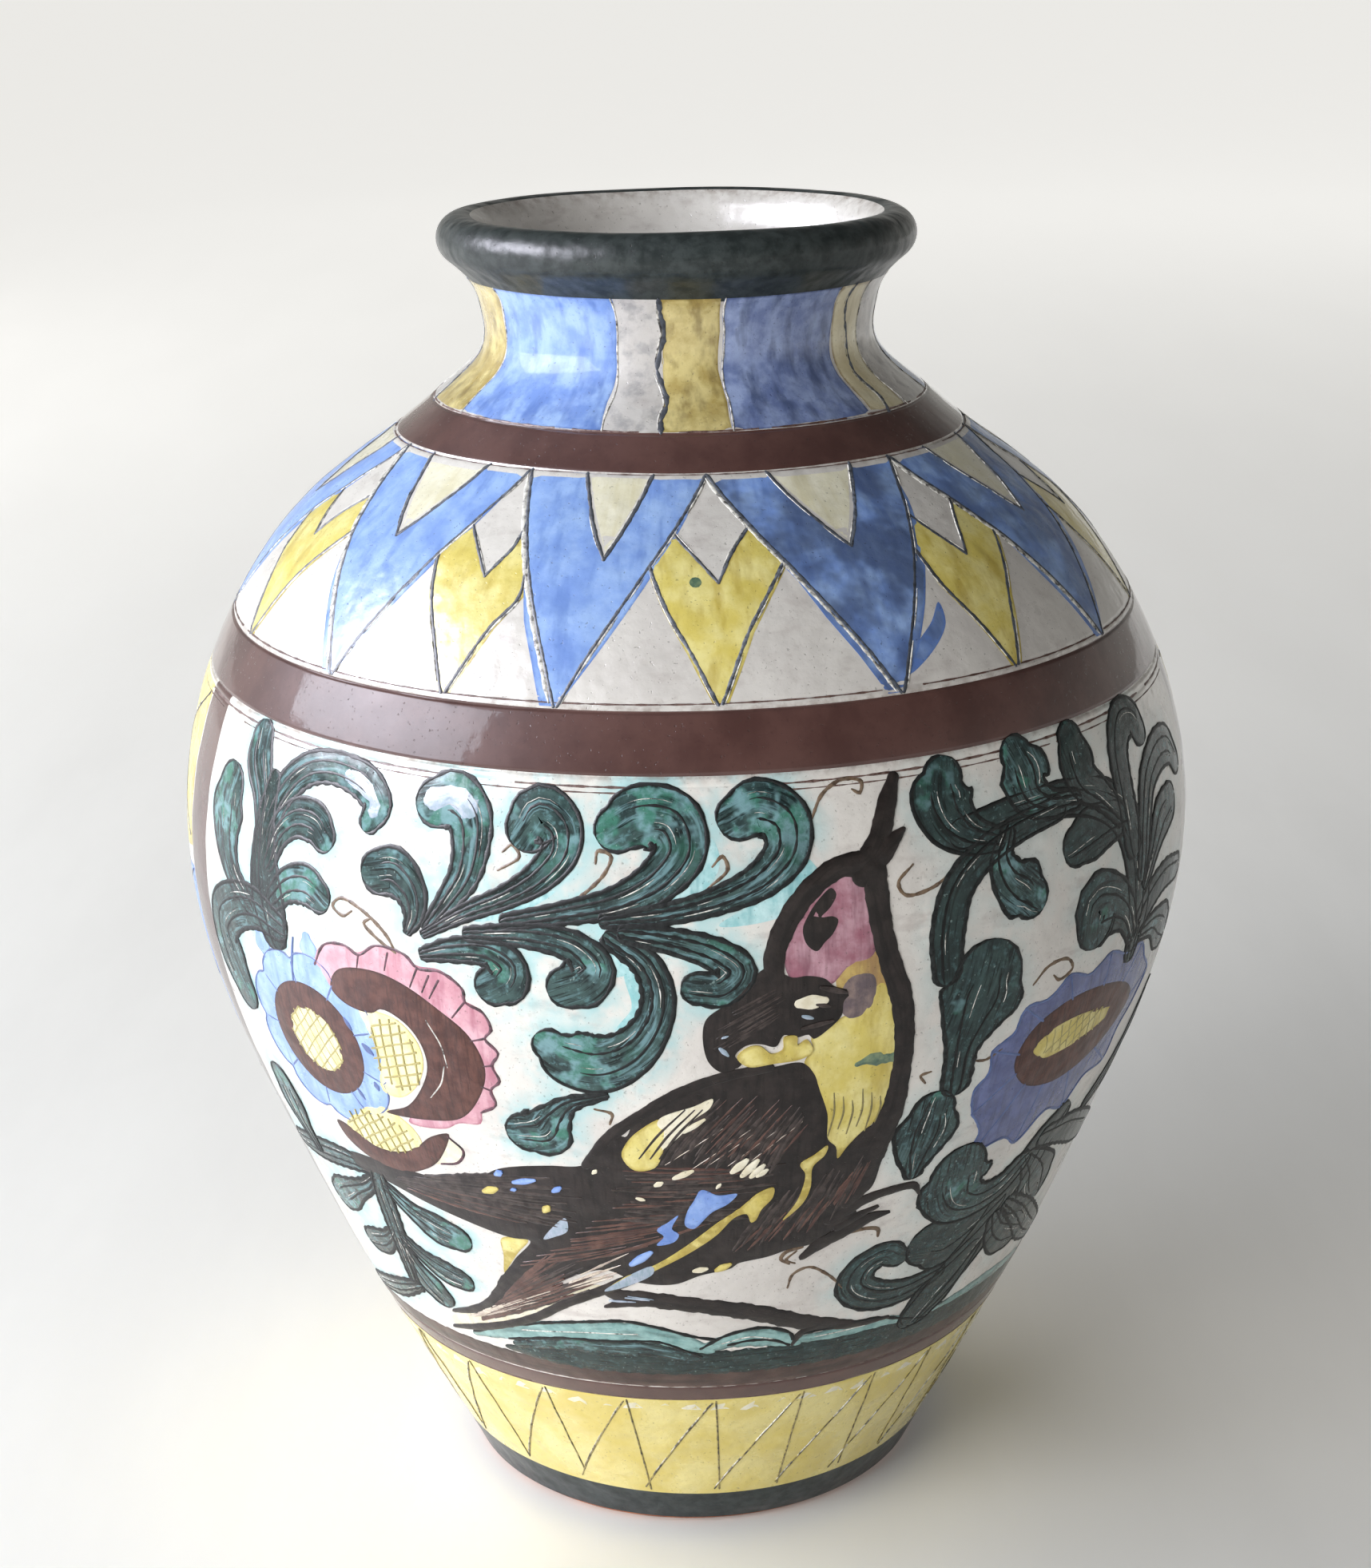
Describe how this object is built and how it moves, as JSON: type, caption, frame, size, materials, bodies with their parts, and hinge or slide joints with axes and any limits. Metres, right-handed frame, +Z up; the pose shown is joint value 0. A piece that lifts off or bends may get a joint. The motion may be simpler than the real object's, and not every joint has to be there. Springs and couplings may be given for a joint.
{
  "type": "glazed pottery vase",
  "caption": "Shouldered earthenware vase with a narrow neck, rolled lip and foot ring, built from clay sections under bands and panels of painted glaze.",
  "frame": {"origin": "centre of the plane the foot ring rests on", "axes": "+Z up the throwing axis; -Y towards the middle of the main painted panel; +X to that panel's right"},
  "size_m": [0.2174, 0.2172, 0.28],
  "materials": {
    "bare_clay": "unglazed fired earthenware, matt",
    "white_glaze": "glossy tin-white glaze with painted decoration",
    "inner_glaze": "thin glossy grey-white glaze",
    "green_glaze": "dark glossy green glaze",
    "brown_slip": "dark glossy brown slip",
    "yellow_glaze": "glossy yellow glaze"
  },
  "bodies": {
    "root": {"foot_ring": "bare_clay", "floor_slab": "bare_clay", "lower_wall": "bare_clay", "belly_wall": "bare_clay", "upper_wall": "bare_clay", "shoulder_wall": "bare_clay", "neck_wall": "bare_clay", "rim_roll": "bare_clay", "foot_colour": "green_glaze", "yellow_zone": "yellow_glaze", "lower_band": "brown_slip", "panel_front": "white_glaze", "panel_back": "white_glaze", "panel_left_strip": "yellow_glaze", "panel_right_strip": "yellow_glaze", "upright_band_front_left": "brown_slip", "upright_band_front_right": "brown_slip", "upright_band_back_left": "brown_slip", "upright_band_back_right": "brown_slip", "shoulder_band": "brown_slip", "shoulder_zone": "white_glaze", "neck_band": "brown_slip", "neck_zone": "white_glaze", "rim_colour": "green_glaze", "inner_glaze": "inner_glaze"}
  },
  "joints": []
}
